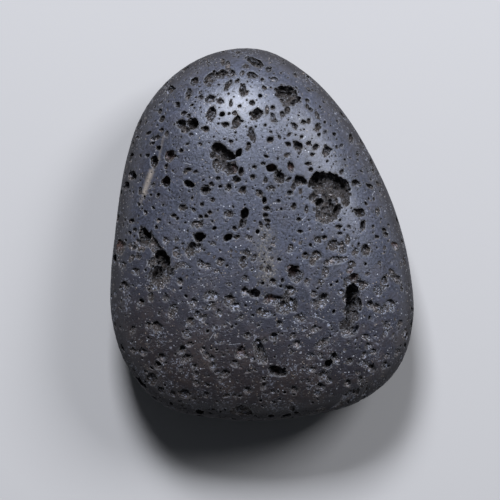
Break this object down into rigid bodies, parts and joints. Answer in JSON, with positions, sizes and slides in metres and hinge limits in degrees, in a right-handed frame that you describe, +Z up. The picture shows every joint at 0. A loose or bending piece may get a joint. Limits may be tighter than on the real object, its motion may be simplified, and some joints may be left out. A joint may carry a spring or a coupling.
{
  "type": "lava rock",
  "caption": "Tumbled pebble of black vesicular lava with a worn satin skin, open gas-bubble pits and a small flat foot.",
  "frame": {"origin": "middle of the footprint at the height of the flat foot", "axes": "+Z up from the foot to the domed face, +Y along the length towards the narrow end"},
  "size_m": [0.0406, 0.05, 0.0191],
  "materials": {
    "worn_lava": "satin worn skin with rough pits"
  },
  "bodies": {
    "root": {"lava_stone": "worn_lava"}
  },
  "joints": []
}
